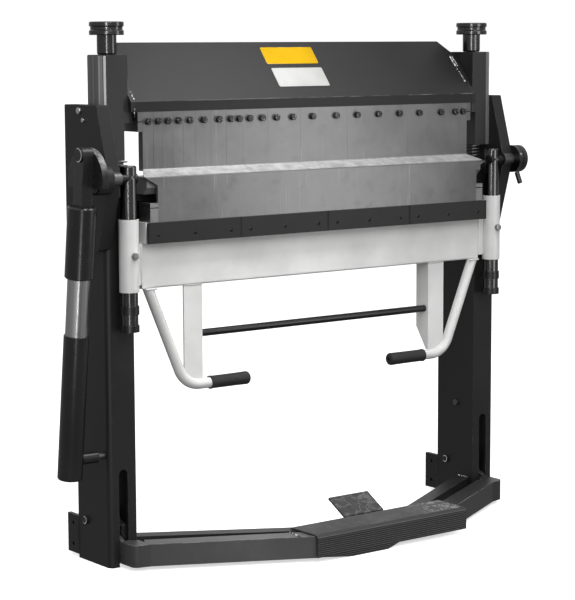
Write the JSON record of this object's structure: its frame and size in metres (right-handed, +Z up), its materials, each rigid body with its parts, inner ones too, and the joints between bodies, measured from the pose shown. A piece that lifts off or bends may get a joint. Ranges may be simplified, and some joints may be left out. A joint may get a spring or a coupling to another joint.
{
  "type": "box and pan brake",
  "caption": "Floor-standing sheet folder with a row of bending fingers under a clamping beam, a hand-swung apron with a balance strut, and a foot pedal that clamps the beam.",
  "frame": {"origin": "on the floor, under the middle of the machine's bounding box", "axes": "+X along the bending line towards the operator's right, +Y from the operator to the back, +Z up"},
  "size_m": [1.4064, 0.4536, 1.2843],
  "materials": {
    "dark_paint": "satin",
    "light_paint": "satin",
    "ground_steel": "ground",
    "bright_steel": "turned",
    "plated_tube": "polished",
    "black_steel": "blackened",
    "black_grip": "matte",
    "bush_bronze": "machined"
  },
  "bodies": {
    "frame": {"left_column": "dark_paint", "right_column": "dark_paint", "left_cheek": "dark_paint", "right_cheek": "dark_paint", "shaft_bushes": "bush_bronze", "floor_lugs": "dark_paint", "bed_beam": "dark_paint", "lower_blade": "ground_steel", "pedal_axles": "bright_steel", "guide_pins": "bright_steel", "strut_foot_pin": "bright_steel", "spring_seats": "dark_paint", "lift_springs": "bright_steel"},
    "clamp_beam": {"beam_shell": "dark_paint", "beam_end_plates": "dark_paint", "slide_blocks": "bright_steel", "upper_rail": "dark_paint", "segment_bolts": "black_steel", "pull_bars": "dark_paint", "segments_100": "ground_steel", "segments_150": "ground_steel", "segments_200": "ground_steel", "segments_25": "ground_steel", "segments_30": "ground_steel", "segments_35": "ground_steel", "segments_45": "ground_steel", "segments_50": "ground_steel", "segments_75": "ground_steel", "segments_end": "ground_steel"},
    "left_knob": {"left_knob": "bright_steel"},
    "right_knob": {"right_knob": "bright_steel"},
    "pedal": {"pedal_frame": "dark_paint", "pedal_inner_rail": "dark_paint", "pedal_tread": "dark_paint", "toe_plate": "dark_paint", "link_pins": "bright_steel"},
    "swing_spindles": {"bend_spindles": "black_steel", "bend_shafts": "black_steel", "balance_crank": "dark_paint", "spindle_collars": "black_steel"},
    "apron": {"apron_beam": "light_paint", "apron_sleeves": "light_paint", "apron_uprights": "light_paint", "cross_rod": "black_steel", "left_handle": "light_paint", "right_handle": "light_paint", "handle_grips": "black_grip", "leaf": "ground_steel", "leaf_rail": "dark_paint", "leaf_strips": "black_steel", "strip_screws": "black_steel"},
    "angle_stop": {"angle_stop_ring": "black_steel"},
    "stop_screw": {"stop_clamp_screw": "black_steel"},
    "strut_lower": {"strut_lower_tube": "dark_paint"},
    "strut_upper": {"strut_rod_tube": "plated_tube", "strut_sleeve": "dark_paint", "strut_head": "dark_paint", "strut_head_bolt": "bright_steel"}
  },
  "joints": [
    {"name": "beam_lift", "type": "slide", "parent": "frame", "child": "clamp_beam", "axis": [0, 0, 1], "range_m": [0, 0.045], "deforming": ["lift_springs"]},
    {"name": "pedal_swing", "type": "hinge", "parent": "frame", "child": "pedal", "pos_m": [0.03625, 0.14075, 0.1], "axis": [-1, 0, 0], "range_deg": [0, 32.68]},
    {"name": "left_knob_turn", "type": "hinge", "parent": "clamp_beam", "child": "left_knob", "pos_m": [-0.53575, 0.08575, 1.21], "axis": [0, 0, 1], "continuous": true},
    {"name": "right_knob_turn", "type": "hinge", "parent": "clamp_beam", "child": "right_knob", "pos_m": [0.60825, 0.08575, 1.21], "axis": [0, 0, 1], "continuous": true},
    {"name": "apron_swing", "type": "hinge", "parent": "frame", "child": "swing_spindles", "pos_m": [0.03625, -0.00475, 0.925], "axis": [-1, 0, 0], "range_deg": [0, 135]},
    {"name": "apron_height", "type": "slide", "parent": "swing_spindles", "child": "apron", "axis": [0, 0, 1], "range_m": [-0.028, 0]},
    {"name": "stop_ring_turn", "type": "hinge", "parent": "swing_spindles", "child": "angle_stop", "pos_m": [0.68625, -0.00475, 0.925], "axis": [-1, 0, 0], "range_deg": [0, 135]},
    {"name": "stop_screw_turn", "type": "hinge", "parent": "angle_stop", "child": "stop_screw", "pos_m": [0.6773, -0.00475, 0.925], "axis": [0, -0.4226, -0.9063], "continuous": true},
    {"name": "strut_tilt", "type": "hinge", "parent": "frame", "child": "strut_lower", "pos_m": [-0.66975, 0.05775, 0.27], "axis": [-1, 0, 0], "range_deg": [0, 6.27]},
    {"name": "strut_slide", "type": "slide", "parent": "strut_lower", "child": "strut_upper", "axis": [0, -0.1167, 0.9932], "range_m": [-0.09222, 0]}
  ],
  "couplings": [
    {"joint": "pedal_swing", "follows": "beam_lift", "rad_per_m": 12.671},
    {"joint": "strut_tilt", "follows": "apron_swing", "ratio": 0.046341},
    {"joint": "strut_slide", "follows": "apron_swing", "m_per_rad": -0.039098}
  ]
}
